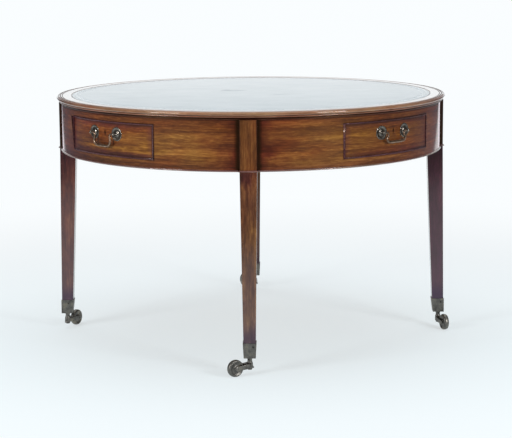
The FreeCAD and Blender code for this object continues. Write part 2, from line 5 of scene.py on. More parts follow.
import bmesh
import bpy
from mathutils import Matrix, Vector


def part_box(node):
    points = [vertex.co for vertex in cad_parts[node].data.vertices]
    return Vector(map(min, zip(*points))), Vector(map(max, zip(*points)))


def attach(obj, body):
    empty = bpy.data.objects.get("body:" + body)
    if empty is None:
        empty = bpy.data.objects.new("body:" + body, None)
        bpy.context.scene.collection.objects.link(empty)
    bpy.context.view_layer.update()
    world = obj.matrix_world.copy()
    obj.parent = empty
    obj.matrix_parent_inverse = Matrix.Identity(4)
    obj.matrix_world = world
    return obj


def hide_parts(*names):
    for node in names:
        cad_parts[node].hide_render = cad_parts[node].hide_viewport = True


# The looks of the drum table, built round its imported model. Metres, +Z up.

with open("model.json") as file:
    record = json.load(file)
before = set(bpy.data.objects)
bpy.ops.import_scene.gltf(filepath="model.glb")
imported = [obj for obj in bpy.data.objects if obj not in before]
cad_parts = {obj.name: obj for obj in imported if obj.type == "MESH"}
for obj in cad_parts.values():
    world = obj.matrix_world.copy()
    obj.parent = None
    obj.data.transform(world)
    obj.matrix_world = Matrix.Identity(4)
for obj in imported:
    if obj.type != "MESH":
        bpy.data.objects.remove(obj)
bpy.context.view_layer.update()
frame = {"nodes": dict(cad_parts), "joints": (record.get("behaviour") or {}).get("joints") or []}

# The camera, fitted to the top, the frieze and the feet of the table in the photograph
photo_width = 512
focal_pixels = 1690.5
camera_distance = 5.340
camera_height = 1.256
camera_turn = 0.0147
camera_pitch = 0.1674
camera_yaw = 0.0025
camera_roll = -0.0071

# Edges: how far they are eased, how sharp they have to be, and what counts as one point or plane
fine_edge = 0.0004
soft_edge = 0.0008
worn_edge = 0.0012
least_edge_angle = math.radians(25.0)
same_point = 1e-6
same_plane_angle = math.radians(0.3)

# Steps round what is turned
full_steps = 256
wheel_steps = 64
small_steps = 48
stem_steps = 32
pin_steps = 24
rod_steps = 14

# Veneer: the length of a run round the rim, its shifts in the grain, and the sheet of the frieze
veneer_run = 0.21
veneer_shifts = (7.3, 3.1)
VENEER = Vector((3.1, 5.2, 1.4))

# Stains in the leather: where they lie, how quickly they fade across and along, and their tone
STAINS = (
    ((-0.075, 0.078, 0.0), (17.0, 30.0, 0.0), (0.60, 0.62, 0.64)),
    ((0.093, -0.070, 0.0), (28.0, 40.0, 0.0), (0.82, 0.83, 0.84)),
)

# Handles: half the spacing of the posts, their ball, and the rod of the bail
half_post_spacing = 0.05
ball_radius = 0.0052
rod_radius = 0.0028

# Castors: half the wheel, its play, the cheek and pin beside it, and the sizes that the horn is drawn for
half_wheel = 0.008
wheel_play = 0.001
cheek = 0.0035
pin_proud = 0.001
drawn_trail = 0.05
drawn_radius = 0.025

LEGS = {"front": -90.0, "right": 0.0, "back": 90.0, "left": 180.0}
DRAWERS = {"front_left": -135.0, "front_right": -45.0, "back_right": 45.0, "back_left": 135.0}
half_quarter = math.radians(45.0)
centred = Matrix.Identity(4)

chance = random.Random(41)
joints = {joint["name"]: joint for joint in frame["joints"]}


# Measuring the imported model

def points(node):
    """The corners of a CAD node's mesh."""
    return [vertex.co.copy() for vertex in frame["nodes"][node].data.vertices]


def radii(node):
    """The smallest and largest distance of a node from the table's axis."""
    lengths = [math.hypot(point.x, point.y) for point in points(node)]
    return min(lengths), max(lengths)


def turn(degrees):
    """A rotation about the table's axis."""
    return Matrix.Rotation(math.radians(degrees), 4, "Z")


def local_points(node, degrees):
    """The corners of a node in axes turned by some degrees about the table's axis."""
    back = turn(-degrees)
    return [back @ point for point in points(node)]


def local_box(node, degrees):
    """The lowest and highest corner of a node in turned axes."""
    corners = local_points(node, degrees)
    low = Vector([min(corner[axis] for corner in corners) for axis in range(3)])
    high = Vector([max(corner[axis] for corner in corners) for axis in range(3)])
    return low, high


def half_angle(node, degrees):
    """The angle in plan from the middle of a node's outer face to its end."""
    return math.asin(local_box(node, degrees)[1].y / radii(node)[1])


def keyhole_span(drawer):
    """The lowest and highest point of a drawer's keyhole, from the corners at the middle of its front."""
    face_depth = 0.001
    slot_reach = 0.004
    margin = 0.01
    low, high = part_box("drawer_front_" + drawer)
    face = radii("drawer_front_" + drawer)[1] - face_depth
    heights = []
    for corner in local_points("drawer_front_" + drawer, DRAWERS[drawer]):
        on_face = abs(corner.y) < slot_reach and math.hypot(corner.x, corner.y) > face
        if on_face and low.z + margin < corner.z < high.z - margin:
            heights.append(corner.z)
    return min(heights), max(heights)


# Materials

class Graph:
    """The node graph of a material, or of the world."""

    def __init__(self, owner, shader="Principled BSDF"):
        owner.use_nodes = True
        self.owner = owner
        self.tree = owner.node_tree
        self.shader = self.tree.nodes[shader]

    def set(self, node, values):
        for key, value in values.items():
            if isinstance(value, bpy.types.NodeSocket):
                self.tree.links.new(value, node.inputs[key])
            else:
                node.inputs[key].default_value = value

    def add(self, kind, settings=None, values=None):
        node = self.tree.nodes.new("ShaderNode" + kind)
        for key, value in (settings or {}).items():
            setattr(node, key, value)
        self.set(node, values or {})
        return node

    def place(self):
        return self.add("TexCoord").outputs["Object"]

    def axes(self, vector=None):
        """X, Y and Z of a vector, or else of the place."""
        return self.add("SeparateXYZ", None, {"Vector": vector or self.place()}).outputs

    def normal(self):
        """X, Y and Z of the surface's direction."""
        return self.axes(self.add("TexCoord").outputs["Normal"])

    def vector(self, operation, *values):
        return self.add("VectorMath", {"operation": operation}, dict(enumerate(values))).outputs

    def scaled(self, vector, scale):
        """A vector scaled by one number, or by one for each axis."""
        return self.vector("MULTIPLY", vector, (scale,) * 3 if isinstance(scale, float) else scale)["Vector"]

    def length(self, vector):
        return self.vector("LENGTH", vector)["Value"]

    def from_axis(self):
        """The distance from the table's axis."""
        return self.length(self.scaled(self.place(), (1.0, 1.0, 0.0)))

    def noise(self, vector, scale, detail=3.0, rough=0.6, twist=0.0):
        """Cloudy noise, with its scale per metre."""
        values = {"Vector": self.scaled(vector, scale), "Scale": 1.0}
        values |= {"Detail": detail, "Roughness": rough, "Distortion": twist}
        return self.add("TexNoise", None, values).outputs["Fac"]

    def math(self, operation, *values):
        return self.add("Math", {"operation": operation}, dict(enumerate(values))).outputs["Value"]

    def sum(self, first, second, share=1.0):
        return self.math("MULTIPLY_ADD", second, share, first)

    def product(self, first, second):
        return self.math("MULTIPLY", first, second)

    def difference(self, first, second):
        return self.math("SUBTRACT", first, second)

    def largest(self, most, *others):
        for other in others:
            most = self.math("MAXIMUM", most, other)
        return most

    def level(self, value, low, high, out_low=0.0, out_high=1.0, kind="LINEAR"):
        """A value's way from low to high, as a way from out_low to out_high."""
        values = {"Value": value, "From Min": low, "From Max": high, "To Min": out_low, "To Max": out_high}
        return self.add("MapRange", {"interpolation_type": kind}, values).outputs["Result"]

    def ramp(self, value, stops):
        node = self.add("ValToRGB", None, {"Fac": value})
        band = node.color_ramp
        while len(band.elements) < len(stops):
            band.elements.new(0.5)
        for element, (place, colour) in zip(band.elements, stops):
            element.position = place
            element.color = (*colour, 1.0)
        return node.outputs["Color"]

    def mix(self, share, first, second, blend="MIX"):
        values = {0: share}
        for index, value in ((6, first), (7, second)):
            values[index] = value if isinstance(value, bpy.types.NodeSocket) else (*value, 1.0)
        return self.add("Mix", {"data_type": "RGBA", "blend_type": blend}, values).outputs[2]

    def blend(self, share, first, second):
        """As mix, for numbers."""
        return self.add("Mix", {"data_type": "FLOAT"}, {0: share, 2: first, 3: second}).outputs[0]

    def stain(self, colour, share, tone):
        """A colour, multiplied by a tone where the share says."""
        return self.mix(share, colour, tone, "MULTIPLY")

    def lift(self, colour, share, tone):
        """A colour, with a tone added where the share says."""
        return self.mix(share, colour, tone, "ADD")

    def bump(self, height, strength, distance):
        node = self.add("Bump", None, {"Height": height, "Strength": strength, "Distance": distance})
        return node.outputs["Normal"]

    def show(self, share, other):
        """Show another shader over the main one where the share says."""
        blend = self.add("MixShader", None, {0: share, 1: self.shader.outputs[0], 2: other.outputs[0]})
        self.tree.links.new(blend.outputs[0], self.tree.nodes["Material Output"].inputs["Surface"])


def mirror_when_glancing(graph, start, full, most, rough=0.12, tint=(1.0, 1.0, 1.0), mask=None):
    """Polish that mirrors what lies beyond where a surface is seen nearly along itself."""
    facing = graph.add("LayerWeight", None, {"Blend": 0.5}).outputs["Facing"]
    polish = graph.add("BsdfGlossy", None, {"Color": (*tint, 1.0), "Roughness": rough})
    share = graph.level(facing, start, full, 0.0, most)
    if mask:
        share = graph.product(share, mask)
    graph.show(share, polish)


def wood(name, tones, rough=0.42, coat=1.0, blush=1.0, age_and_shade=None, shine=None, dulled=None, glancing=()):
    """Wood whose grain runs along the first part of the grain attribute, in a dark, middle and light tone.

    age_and_shade gives its colour its own tone and paints shade into it, shine is where its polish lies, and
    dulled where the polish is worn off.
    """
    graph = Graph(bpy.data.materials.new(name))
    grain = graph.add("Attribute", {"attribute_name": "grain"}).outputs["Vector"]
    bands = graph.noise(grain, (2.2, 42.0, 42.0), 5.0, 0.6, 0.5)
    fibres = graph.noise(grain, (14.0, 520.0, 520.0), 4.0, 0.65)
    flecks = graph.noise(grain, (42.0, 260.0, 260.0))
    pores = graph.noise(grain, (60.0, 2600.0, 2600.0), 2.0, 0.5)
    figure = graph.noise(grain, (9.0, 135.0, 135.0), twist=0.3)
    tone = graph.sum(graph.product(bands, 0.45), fibres, 0.2)
    tone = graph.sum(graph.sum(tone, flecks, 0.2), figure, 0.21)
    colour = graph.ramp(tone, list(zip((0.41, 0.52, 0.65), tones)))
    redness = graph.noise(grain, (5.0, 15.0, 15.0), 3.0, 0.5)
    colour = graph.stain(colour, graph.level(redness, 0.46, 0.66, 0.0, 0.8 * blush), (0.95, 0.62, 0.60))
    colour = graph.stain(colour, graph.level(redness, 0.46, 0.32, 0.0, 0.7 * blush), (0.96, 1.0, 0.62))
    glint = graph.product(graph.level(flecks, 0.56, 0.7), graph.level(bands, 0.44, 0.6, 0.1, 0.75))
    colour = graph.mix(glint, colour, tones[-1])
    colour = graph.stain(colour, graph.level(pores, 0.5, 0.62, 0.0, 0.45), (0.4, 0.3, 0.27))
    if age_and_shade:
        colour = age_and_shade(graph, colour)
    roughness = graph.level(fibres, 0.3, 0.7, rough - 0.06, rough + 0.08)
    height = graph.sum(graph.product(fibres, 0.5), pores, -0.5)
    polish = shine(graph) if shine else coat
    if dulled:
        worn = dulled(graph)
        roughness = graph.sum(roughness, worn, 0.3)
        polish = graph.product(polish, graph.level(worn, 0.0, 1.0, 1.0, 0.05))
    graph.set(graph.shader, {
        "Base Color": colour,
        "Roughness": roughness,
        "Specular IOR Level": 0.45,
        "Specular Tint": (1.0, 0.5, 0.2, 1.0),
        "Coat Weight": polish,
        "Coat Roughness": 0.1,
        "Normal": graph.bump(height, 0.25, 0.0002),
    })
    if glancing:
        mirror_when_glancing(graph, *glancing, mask=shine(graph) if shine else None)
    return graph.owner


def from_leg(graph):
    """The angle in plan to the nearest leg, 0 at its middle and 45 degrees at the middle of a drawer."""
    axes = graph.axes()
    return graph.math("PINGPONG", graph.math("ARCTAN2", axes["Y"], axes["X"]), half_quarter)


def toward_sides(graph, start, full):
    """How near the side legs a point lies: 0 at the first distance in depth, 1 at the second."""
    return graph.level(graph.math("ABSOLUTE", graph.axes()["Y"]), start, full)


def frieze_shine(graph):
    """The polish is dulled by dirt close beside the stiles."""
    return graph.level(from_leg(graph), math.radians(3.1), math.radians(4.4), 0.12, 1.0)


def drawer_reach(graph):
    """How far a point of the frieze lies outside the nearest drawer, in metres."""
    low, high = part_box("drawer_front_front_left")
    end = half_quarter - half_angle("drawer_front_front_left", DRAWERS["front_left"])
    height = graph.axes()["Z"]
    beside = graph.product(graph.difference(end, from_leg(graph)), radii("drawer_front_front_left")[1])
    return graph.largest(beside, graph.difference(height, high.z), graph.difference(low.z, height))


def frieze_tone_and_shade(graph, colour):
    """Darker, redder veneer toward the legs, partly its own tone and partly painted shade; painted shadow
    beside the proud stiles and under the top; painted shade and reflection toward the side legs; darker above
    the bead.
    """
    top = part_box("frieze_top_rails")[1].z
    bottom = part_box("frieze_bottom_rails")[0].z
    wrapped = from_leg(graph)
    cloud = graph.noise(graph.place(), 14.0)
    reach = graph.sum(wrapped, graph.level(cloud, 0.3, 0.7, 0.06, -0.06))
    # Toward the legs the veneer darkens, partly its own redder tone and partly painted shade; the narrow
    # near-black band is the stile's painted shadow.
    for value, near, far, most, tone in (
        (reach, 4.0, 16.0, 0.8, (0.80, 0.50, 0.62)),
        (reach, 3.2, 7.5, 1.0, (0.50, 0.28, 0.50)),
        (wrapped, 3.0, 3.9, 1.0, (0.10, 0.08, 0.22)),
    ):
        share = graph.level(value, math.radians(near), math.radians(far), most, 0.0)
        colour = graph.stain(colour, share, tone)
    # Painted shade and a painted purplish reflection toward the side legs.
    side = toward_sides(graph, 0.40, 0.20)
    colour = graph.lift(graph.stain(colour, side, (0.70, 0.47, 0.85)), side, (0.007, 0.0, 0.009))
    height = graph.axes()["Z"]
    ragged = graph.sum(height, graph.level(cloud, 0.3, 0.7, 0.009, -0.009))
    # Painted shadow of the top under the moulding, over the upper rail and as a dark line at its edge; and
    # darker, cooler just above the bead.
    for value, start, full, most, tone in (
        (ragged, top - 0.050, top - 0.020, 1.0, (0.76, 0.60, 0.64)),
        (height, top - 0.018, top - 0.009, 0.25, (0.62, 0.40, 0.60)),
        (height, bottom + 0.034, bottom + 0.010, 1.0, (0.62, 0.50, 0.80)),
        (height, top - 0.0050, top - 0.0028, 1.0, (0.35, 0.18, 0.26)),
    ):
        colour = graph.stain(colour, graph.level(value, start, full, 0.0, most), tone)
    return colour


def frieze_tone_and_gap_shade(graph, colour):
    """The frieze's tone and painted shade, with painted shade in the gaps round the drawers."""
    # rim: painted shade along the gaps round the drawer openings.
    rim = graph.level(drawer_reach(graph), 0.0008, 0.0050, 0.85, 0.0)
    return graph.stain(frieze_tone_and_shade(graph, colour), rim, (0.26, 0.15, 0.34))


def bead_side_shade(graph, colour):
    """Painted shade darkens the bead under the frieze toward the side legs."""
    return graph.stain(colour, toward_sides(graph, 0.20, 0.06), (0.35, 0.24, 0.34))


def drawer_tone_and_shade(graph, colour):
    """As the frieze, darker and more purple toward its rim, with painted shade inside the cockbead, round the
    keyhole and over the drawers on the +X side.
    """
    low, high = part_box("drawer_front_front_left")
    edge = half_quarter - half_angle("drawer_front_front_left", DRAWERS["front_left"])
    wrapped = from_leg(graph)
    height = graph.axes()["Z"]
    cloud = graph.noise(graph.place(), 20.0)
    across = graph.sum(wrapped, graph.level(cloud, 0.3, 0.7, 0.012, -0.012))
    up = graph.sum(height, graph.level(cloud, 0.3, 0.7, 0.006, -0.006))
    # worn: darker and more purple toward the drawer's rim.
    worn = graph.largest(
        graph.level(across, edge, edge + 0.045, 0.75, 0.0),
        graph.level(up, high.z, high.z - 0.024, 0.75, 0.0),
        graph.level(up, low.z, low.z + 0.022, 0.75, 0.0),
    )
    # Painted shade in a narrow band just inside the cockbead.
    cockbead_shade = graph.largest(
        graph.level(wrapped, edge + 0.008, edge + 0.015, 0.9, 0.0),
        graph.level(height, high.z - 0.0050, high.z - 0.0100, 0.9, 0.0),
        graph.level(height, low.z + 0.0050, low.z + 0.0100, 0.9, 0.0),
    )
    aged = graph.stain(frieze_tone_and_shade(graph, colour), worn, (0.50, 0.27, 0.46))
    aged = graph.lift(aged, worn, (0.008, 0.0, 0.016))
    # Painted shade darkens the drawers on the +X side.
    aged = graph.stain(aged, graph.level(graph.axes()["X"], 0.2, 0.34), (0.72, 0.66, 0.66))
    aged = graph.stain(aged, cockbead_shade, (0.24, 0.15, 0.34))
    # Painted shade round the keyhole, widening the dark of its slot.
    foot, head = keyhole_span("front_left")
    middle = (foot + head) / 2
    off_slot = graph.level(graph.difference(half_quarter, wrapped), 0.0, 0.0085)
    for end in (head + 0.003, foot - 0.003):
        off_slot = graph.sum(off_slot, graph.level(height, middle, end))
    return graph.stain(aged, graph.level(off_slot, 0.5, 1.1, 0.95, 0.0), (0.12, 0.08, 0.10))


def leg_tone_and_shade(graph, colour):
    """The legs: darker just under the frieze, darker and bluer toward their feet with a painted reflection of
    the floor, painted shade on the side legs' front faces and on the stiles' flanks, and the stiles' own
    golden tone.
    """
    axes = graph.axes()
    height = axes["Z"]
    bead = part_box("frieze_bead")[0].z
    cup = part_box("castor_cups")[1].z
    cloud = graph.noise(graph.place(), (26.0, 26.0, 9.0), 4.0)
    stile = graph.level(height, bead - 0.001, bead + 0.001)
    # Darker and purpler just under the frieze, in blotches and then as a band.
    blotch = graph.product(graph.level(height, bead + 0.001, bead - 0.007), graph.level(cloud, 0.42, 0.60))
    aged = graph.stain(colour, blotch, (0.52, 0.42, 0.60))
    ragged = graph.sum(height, graph.level(cloud, 0.35, 0.65, -0.03, 0.03))
    below = graph.level(stile, 0.0, 1.0, 1.0, 0.0)
    under = graph.product(graph.level(ragged, bead - 0.052, bead - 0.018), below)
    aged = graph.stain(aged, under, (0.40, 0.24, 0.62))
    # Darker and bluer toward the feet; the blue lift is a painted reflection of the pale floor.
    low = graph.level(height, 0.42, 0.12)
    aged = graph.lift(graph.stain(aged, low, (0.54, 0.60, 0.9)), low, (0.003, 0.005, 0.015))
    # On the side legs' faces turned to the front: painted shade, a painted pale reflection of the floor low
    # down, and painted shade over the crown and the stile.
    forward = graph.level(graph.normal()["Y"], -0.4, -0.8)
    crown = graph.level(height, bead - 0.15, bead - 0.03)
    for far, tone, cool in (
        (-0.55, (0.86, 0.68, 0.80), (0.006, 0.004, 0.014)),
        (0.55, (0.27, 0.12, 0.62), (0.0, 0.0, 0.014)),
    ):
        side = graph.product(forward, graph.level(axes["X"], far * 0.6, far))
        aged = graph.lift(graph.stain(aged, side, tone), side, cool)
        aged = graph.lift(aged, graph.product(side, low), (0.028, 0.020, 0.012))
        aged = graph.stain(aged, graph.product(side, crown), (0.34, 0.20, 0.58))
        aged = graph.stain(aged, graph.product(side, stile), (0.50, 0.50, 0.80))
    # Painted shade on the stiles' flanks beside the frieze.
    corner = half_angle("leg_front", LEGS["front"])
    flank_shade = graph.product(graph.level(from_leg(graph), corner - 0.004, corner - 0.0015), stile)
    aged = graph.stain(aged, flank_shade, (0.20, 0.12, 0.30))
    aged = graph.stain(aged, stile, (0.80, 0.66, 0.44))
    # Darker and bluer just above the cups.
    foot = graph.level(height, cup + 0.056, cup + 0.016)
    return graph.lift(graph.stain(aged, foot, (0.42, 0.38, 0.80)), foot, (0.0, 0.0, 0.006))


def in_quirks(graph):
    """One in the narrow grooves beside the upper reeds of the moulding."""
    inner = radii("top_edge_moulding")[0]
    reach = graph.from_axis()
    grooves = []
    for start, half in ((0.0004, 0.0019), (0.0073, 0.0015), (0.0123, 0.0009)):
        away = graph.math("ABSOLUTE", graph.difference(reach, inner + start))
        grooves.append(graph.level(away, half * 0.6, half * 1.3, 1.0, 0.0))
    return graph.largest(*grooves)


def edge_shine(graph):
    """The nosing and the upper reeds are polished, the grooves and the lowest reed dull."""
    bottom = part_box("top_edge_moulding")[0].z
    polished = graph.level(graph.axes()["Z"], bottom + 0.003, bottom + 0.012, 0.45, 1.0)
    return graph.product(polished, graph.level(in_quirks(graph), 0.0, 1.0, 1.0, 0.05))


def facing_up(graph):
    """One where the surface faces up, as on the flat upper reeds, which hands have dulled."""
    return graph.level(graph.normal()["Z"], 0.75, 0.95)


def edge_shade(graph, colour):
    """The moulding keeps its pale nosing, with painted shade underneath, in its grooves and toward the sides.
    """
    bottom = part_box("top_edge_moulding")[0].z
    height = graph.axes()["Z"]
    # Painted shade on the lower reeds, under the nosing.
    aged = graph.stain(colour, graph.level(height, bottom + 0.012, bottom + 0.009), (0.88, 0.74, 0.82))
    aged = graph.stain(aged, graph.level(height, bottom + 0.0065, bottom + 0.0045), (0.92, 0.78, 0.84))
    aged = graph.stain(aged, in_quirks(graph), (0.10, 0.06, 0.08))
    return graph.stain(aged, toward_sides(graph, 0.40, 0.12), (0.40, 0.26, 0.50))


def brass(name, dark, light, rough, warm=(0.5, 0.4, 0.28)):
    """Old brass: dull brown patina, paler in scattered patches."""
    graph = Graph(bpy.data.materials.new(name))
    place = graph.place()
    cloud = graph.noise(place, 60.0, 5.0)
    speck = graph.noise(place, 420.0)
    tone = graph.sum(graph.product(cloud, 0.75), speck, 0.25)
    graph.set(graph.shader, {
        "Base Color": graph.ramp(tone, [(0.34, dark), (0.52, light), (0.68, warm)]),
        "Metallic": 1.0,
        "Roughness": graph.level(cloud, 0.3, 0.7, rough + 0.12, rough - 0.08),
        "Normal": graph.bump(speck, 0.25, 0.00025),
    })
    return graph.owner


def leather(name, radius):
    """Old tooled leather: pale, softly mottled, with a fine skin grain, rubbed streaks and a dark rim."""
    graph = Graph(bpy.data.materials.new(name))
    place = graph.place()
    cloud = graph.noise(place, 3.0, 4.0, 0.55)
    patch = graph.noise(place, (9.0, 12.0, 9.0), 4.0)
    tone = graph.sum(graph.product(cloud, 0.6), patch, 0.4)
    colour = graph.ramp(tone, [
        (0.35, (0.445, 0.495, 0.525)),
        (0.52, (0.495, 0.545, 0.575)),
        (0.7, (0.545, 0.59, 0.62)),
    ])
    streak = graph.noise(place, (4.0, 60.0, 4.0), 3.0, 0.5, 0.6)
    colour = graph.stain(colour, graph.level(streak, 0.62, 0.74, 0.0, 0.12), (0.45, 0.45, 0.42))
    ragged = graph.level(graph.noise(place, (28.0, 40.0, 28.0), 4.0), 0.3, 0.7, -0.75, 0.75)
    for middle, spread, deep in STAINS:
        away = graph.vector("SUBTRACT", place, middle)["Vector"]
        spot = graph.sum(graph.length(graph.scaled(away, spread)), ragged)
        share = graph.product(graph.level(spot, 0.2, 1.1, 1.0, 0.0), graph.level(patch, 0.3, 0.5, 0.5, 1.0))
        colour = graph.stain(colour, share, deep)
    rim = graph.level(graph.from_axis(), radius - 0.0035, radius - 0.003, 0.0, 0.9)
    cells = graph.add("TexVoronoi", None, {"Vector": graph.scaled(place, 900.0), "Scale": 1.0})
    grain = graph.noise(place, 1500.0, 2.0, 0.5)
    height = graph.sum(graph.product(cells.outputs["Distance"], 0.6), grain, 0.4)
    graph.set(graph.shader, {
        "Base Color": graph.mix(rim, colour, (0.05, 0.04, 0.045)),
        "Roughness": graph.level(patch, 0.3, 0.7, 0.64, 0.54),
        "Specular IOR Level": 0.15,
        "Normal": graph.bump(height, 0.07, 0.0003),
    })
    mirror_when_glancing(graph, 0.885, 0.93, 0.85, 0.25)
    return graph.owner


def paper_floor():
    """The studio's paper: pale, with painted shade making it a little cooler and darker where the table
    stands.

    Gloss mirrors the paper only where it lies behind the table, and a dark room elsewhere past its edge.
    """
    graph = Graph(bpy.data.materials.new("studio_paper"))
    axes = graph.axes()
    # Painted shade: the paper's colour is cooler and darker around the table.
    colour = graph.ramp(graph.level(axes["Y"], -2.0, 4.0), [
        (0.0, (0.855, 0.935, 0.965)),
        (0.16, (0.80, 0.925, 0.97)),
        (0.28, (0.75, 0.89, 0.94)),
        (0.62, (0.88, 0.94, 0.965)),
        (1.0, (0.95, 0.985, 1.0)),
    ])
    graph.set(graph.shader, {"Base Color": colour, "Roughness": 0.9, "Specular IOR Level": 0.1})
    length = graph.length(graph.place())

    def smooth(value, low, high, out_low=0.0, out_high=1.0):
        return graph.level(value, low, high, out_low, out_high, "SMOOTHSTEP")

    rays = graph.add("LightPath").outputs
    seen = graph.product(rays["Is Camera Ray"], smooth(length, 0.5, 2.8, 0.57))
    mirrored = graph.product(rays["Is Glossy Ray"], smooth(length, 2.5, 3.2, 0.45))
    across = graph.product(smooth(axes["X"], -3.0, -1.9), smooth(axes["X"], 2.9, 3.3, 1.0, 0.0))
    on_paper = graph.product(smooth(axes["Y"], -0.6, 0.6), across)
    off_paper = graph.product(smooth(length, 2.5, 3.2), graph.level(on_paper, 0.0, 1.0, 1.0, 0.0))
    dark = graph.product(rays["Is Glossy Ray"], off_paper)
    shown = graph.mix(dark, (0.955, 0.985, 1.0), (0.10, 0.10, 0.11))
    graph.show(graph.sum(seen, mirrored), graph.add("Emission", None, {"Color": shown, "Strength": 1.0}))
    return graph.owner


FRIEZE = ((0.042, 0.012, 0.007), (0.155, 0.055, 0.012), (0.38, 0.172, 0.034))
DRAWER = [[share * part for share, part in zip((1.06, 1.0, 0.9), tone)] for tone in FRIEZE]
STILE = ((0.048, 0.016, 0.009), (0.145, 0.057, 0.023), (0.29, 0.135, 0.050))
EDGE = ((0.12, 0.050, 0.026), (0.245, 0.125, 0.066), (0.39, 0.22, 0.125))
COCKBEAD = ((0.030, 0.010, 0.018), (0.066, 0.025, 0.036), (0.14, 0.06, 0.075))
BEAD = ((0.07, 0.036, 0.034), (0.14, 0.078, 0.070), (0.24, 0.15, 0.13))
BANDING = ((0.06, 0.022, 0.01), (0.13, 0.05, 0.02), (0.22, 0.10, 0.04))
OAK_TONES = ((0.20, 0.115, 0.05), (0.34, 0.21, 0.095), (0.46, 0.31, 0.16))
PINE_TONES = ((0.30, 0.18, 0.075), (0.46, 0.29, 0.13), (0.56, 0.38, 0.19))

FRIEZE_WOOD = wood(
    "mahogany_veneer", FRIEZE, age_and_shade=frieze_tone_and_gap_shade, shine=frieze_shine,
    glancing=(0.85, 0.915, 0.95, 0.12, (1.0, 0.86, 0.91)),
)
DRAWER_WOOD = wood("mahogany_drawers", DRAWER, age_and_shade=drawer_tone_and_shade)
STILE_WOOD = wood("mahogany_legs", STILE, age_and_shade=leg_tone_and_shade)
EDGE_WOOD = wood(
    "mahogany_edging", EDGE, 0.34, age_and_shade=edge_shade, shine=edge_shine, dulled=facing_up,
    glancing=(0.885, 0.905, 0.92),
)
COCKBEAD_WOOD = wood("mahogany_cockbead", COCKBEAD, 0.28)
BEAD_WOOD = wood("mahogany_bead", BEAD, 0.28, age_and_shade=bead_side_shade)
BANDING_WOOD = wood("mahogany_banding", BANDING, 0.62, 0.0, glancing=(0.882, 0.905, 0.90))
OAK = wood("drawer_oak", OAK_TONES, 0.6, 0.0, 0.25)
PINE = wood("core_pine", PINE_TONES, 0.62, 0.0, 0.25)
LEATHER = leather("tooled_leather", radii("leather_inset")[1])
CASTOR_BRASS = brass("castor_brass", (0.080, 0.077, 0.072), (0.165, 0.158, 0.145), 0.42, (0.27, 0.235, 0.175))
SCREW_BRASS = brass("screw_brass", (0.03, 0.028, 0.026), (0.07, 0.064, 0.056), 0.45, (0.13, 0.11, 0.085))
ROSE_BRASS = brass("rose_brass", (0.07, 0.064, 0.054), (0.21, 0.188, 0.162), 0.27, (0.38, 0.32, 0.25))
BAIL_BRASS = brass("bail_brass", (0.13, 0.08, 0.055), (0.27, 0.18, 0.125), 0.34, (0.44, 0.32, 0.23))
LOCK_BRASS = brass("lock_brass", (0.22, 0.16, 0.08), (0.42, 0.32, 0.16), 0.35, (0.55, 0.44, 0.25))
IRON = brass("pin_iron", (0.06, 0.055, 0.05), (0.14, 0.13, 0.12), 0.4, (0.24, 0.23, 0.21))


# Grain: where each corner of a piece lies in the wood it is cut from

def unrolled(face, point):
    """How far along the curve through a face's middle a point lies, and the middle itself."""
    middle = face.calc_center_median()
    centre = math.atan2(middle.y, middle.x)
    angle = centre + math.remainder(math.atan2(point.y, point.x) - centre, math.tau)
    reach = math.hypot(middle.x, middle.y)
    return angle * reach, centre * reach


def ring_grain(face, point):
    """Along the curve, up and through: for pieces bent or cut round the table's axis."""
    return Vector((unrolled(face, point)[0], point.z, math.hypot(point.x, point.y)))


def cross_grain(face, point):
    """Across the rim of the top, in runs of veneer with their own tone."""
    along, middle = unrolled(face, point)
    shifts = [math.floor(middle / veneer_run) * shift for shift in veneer_shifts]
    return Vector((math.hypot(point.x, point.y), along + shifts[0], point.z + shifts[1]))


def board_grain(axis, degrees):
    """Along one axis of a piece whose own axes are turned about the table's."""
    back = turn(-degrees)

    def grain(face, point):
        local = back @ point
        return Vector([local[(axis + step) % 3] for step in range(3)])

    return grain


def longest_grain(degrees):
    """Along the longest side of a part, in axes turned about the table's."""
    back = turn(-degrees)

    def rule_of(part):
        corners = [back @ vertex.co for face in part for vertex in face.verts]
        spans = [max(c[axis] for c in corners) - min(c[axis] for c in corners) for axis in range(3)]
        return board_grain(spans.index(max(spans)), degrees)

    return rule_of


def loose_parts(bm):
    """The faces of a mesh in its separate parts."""
    left = set(bm.faces)
    parts = []
    for seed in list(bm.faces):
        if seed not in left:
            continue
        part = []
        queue = [seed]
        left.discard(seed)
        while queue:
            face = queue.pop()
            part.append(face)
            for edge in face.edges:
                for other in edge.link_faces:
                    if other in left:
                        left.discard(other)
                        queue.append(other)
        parts.append(part)
    return parts


def write_grain(bm, rule, rule_of=None, board=None):
    """Store the grain of each face corner, by one rule and board or by its own for each loose part."""
    parts = loose_parts(bm) if rule_of else [list(bm.faces)]
    layer = bm.loops.layers.float_vector.new("grain")
    for part in parts:
        if rule_of:
            rule = rule_of(part)
        offset = board or Vector([chance.uniform(0, 9) for axis in range(3)])
        for face in part:
            for loop in face.loops:
                loop[layer] = rule(face, loop.vert.co) + offset


# Making pieces

def outward(face):
    """How squarely a face looks away from the table's axis, 1 or -1 on a cylinder about it."""
    reach = math.hypot(face.center.x, face.center.y)
    return (face.normal.x * face.center.x + face.normal.y * face.center.y) / max(reach, same_point)


def is_round(face, corners):
    """Whether a face lies on a cylinder about the table's axis."""
    same_reach = 2e-5
    least_reach = 0.2
    least_outward = 0.985
    lengths = [math.hypot(point.x, point.y) for point in corners]
    if max(lengths) - min(lengths) > same_reach or math.hypot(face.center.x, face.center.y) < least_reach:
        return False
    return abs(outward(face)) > least_outward


